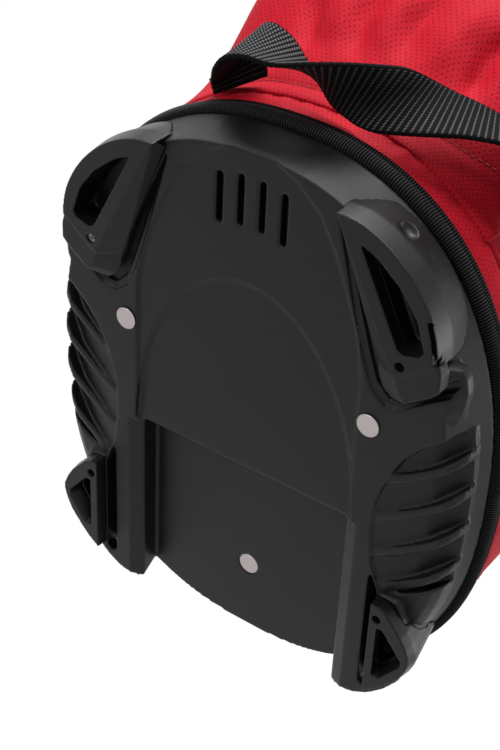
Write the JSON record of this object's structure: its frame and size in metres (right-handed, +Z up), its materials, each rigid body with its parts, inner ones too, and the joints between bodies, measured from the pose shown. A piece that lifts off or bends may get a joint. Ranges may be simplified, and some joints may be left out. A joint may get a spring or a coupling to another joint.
{
  "type": "golf bag",
  "caption": "Soft golf bag with a moulded oval base, feet, zipped pockets, webbing handle, divided cuff and grab handles.",
  "frame": {"origin": "on the ground under the centre of the bag", "axes": "+Z up along the bag, +Y towards the spine with the strap rings, -Y towards the ball pocket, +X to the right seen from below with the pocket side up"},
  "size_m": [0.3064, 0.362, 0.87],
  "materials": {
    "base_plastic": "satin moulded polypropylene",
    "foot_plastic": "satin moulded polypropylene",
    "screw_steel": "dull zinc plating",
    "rivet_nickel": "satin nickel",
    "washer_steel": "plain steel",
    "board_plastic": "matte",
    "pad_foam": "soft foam with a cloth face",
    "black_binding": "ribbed grosgrain",
    "stay_aluminium": "satin tube",
    "red_cloth": "woven polyester with a pin-dot weave",
    "zip_tape": "woven tape with moulded teeth",
    "zip_metal": "satin nickel",
    "pull_plastic": "satin moulded",
    "webbing": "woven webbing with grey dashes",
    "ring_steel": "satin nickel",
    "cuff_plastic": "satin moulded",
    "divider_cloth": "padded cloth",
    "grip_rubber": "soft-touch rubber"
  },
  "bodies": {
    "bag": {"base_moulding": "base_plastic", "rear_foot_left": "foot_plastic", "rear_foot_right": "foot_plastic", "front_foot_left": "foot_plastic", "front_foot_right": "foot_plastic", "foot_screws": "screw_steel", "base_rivets": "rivet_nickel", "rivet_washers": "washer_steel", "base_board": "board_plastic", "base_pad": "pad_foam", "base_binding": "black_binding", "stay_left": "stay_aluminium", "stay_right": "stay_aluminium", "stay_spine": "stay_aluminium", "base_skirt": "red_cloth", "body_tube": "red_cloth", "ball_pocket": "red_cloth", "ball_zip": "zip_tape", "accessory_pocket": "red_cloth", "accessory_zip": "zip_tape", "left_pocket": "red_cloth", "left_zip": "zip_tape", "right_pocket": "red_cloth", "right_zip": "zip_tape", "lower_handle_left_end": "webbing", "lower_handle_right_end": "webbing", "spine_strip": "webbing", "upper_ring_tab": "webbing", "lower_ring_tab": "webbing", "top_cuff": "cuff_plastic", "top_divider": "divider_cloth", "spine_grip": "grip_rubber", "pocket_grip": "grip_rubber", "grip_rivets": "washer_steel", "towel_tab": "webbing"},
    "ball_slider": {"ball_slider": "zip_metal"},
    "ball_pull": {"ball_pull": "pull_plastic"},
    "accessory_slider": {"accessory_slider": "zip_metal"},
    "accessory_pull": {"accessory_pull": "pull_plastic"},
    "left_slider": {"left_slider": "zip_metal"},
    "left_pull": {"left_pull": "pull_plastic"},
    "right_slider": {"right_slider": "zip_metal"},
    "right_pull": {"right_pull": "pull_plastic"},
    "upper_ring": {"upper_ring": "ring_steel"},
    "lower_ring": {"lower_ring": "ring_steel"},
    "towel_ring": {"towel_ring": "ring_steel"},
    "handle": {"lower_handle": "webbing"}
  },
  "joints": [
    {"name": "ball_zip_slide", "type": "slide", "parent": "bag", "child": "ball_slider", "axis": [0, 0, 1], "range_m": [0, 0.04]},
    {"name": "ball_pull_swing", "type": "hinge", "parent": "ball_slider", "child": "ball_pull", "pos_m": [0.08009, -0.17064, 0.1973], "axis": [-0.897, -0.4421, 0], "range_deg": [0, 150]},
    {"name": "accessory_zip_slide", "type": "slide", "parent": "bag", "child": "accessory_slider", "axis": [0, 0, 1], "range_m": [0, 0.035]},
    {"name": "accessory_pull_swing", "type": "hinge", "parent": "accessory_slider", "child": "accessory_pull", "pos_m": [0.06552, -0.15694, 0.39], "axis": [-0.9162, -0.4007, 0], "range_deg": [0, 150]},
    {"name": "left_zip_slide", "type": "slide", "parent": "bag", "child": "left_slider", "axis": [0, 0, 1], "range_m": [0, 0.14]},
    {"name": "left_pull_swing", "type": "hinge", "parent": "left_slider", "child": "left_pull", "pos_m": [-0.15108, -0.03064, 0.257], "axis": [-0.0949, 0.9955, 0], "range_deg": [0, 150]},
    {"name": "right_zip_slide", "type": "slide", "parent": "bag", "child": "right_slider", "axis": [0, 0, 1], "range_m": [0, 0.31]},
    {"name": "right_pull_swing", "type": "hinge", "parent": "right_slider", "child": "right_pull", "pos_m": [0.15108, -0.03064, 0.257], "axis": [-0.0949, -0.9955, 0], "range_deg": [0, 150]},
    {"name": "upper_ring_swing", "type": "hinge", "parent": "bag", "child": "upper_ring", "pos_m": [0, 0.1413, 0.7117], "axis": [1, 0, 0], "range_deg": [0, 150]},
    {"name": "lower_ring_swing", "type": "hinge", "parent": "bag", "child": "lower_ring", "pos_m": [0, 0.1413, 0.207], "axis": [1, 0, 0], "range_deg": [0, 150]},
    {"name": "towel_ring_swing", "type": "hinge", "parent": "bag", "child": "towel_ring", "pos_m": [-0.1145, -0.06794, 0.846], "axis": [-0.339, 0.9408, 0], "range_deg": [0, 150]},
    {"name": "handle_lift", "type": "hinge", "parent": "bag", "child": "handle", "pos_m": [0.02655, -0.12955, 0.07055], "axis": [-0.935, -0.3019, -0.1863], "range_deg": [0, 15]}
  ]
}
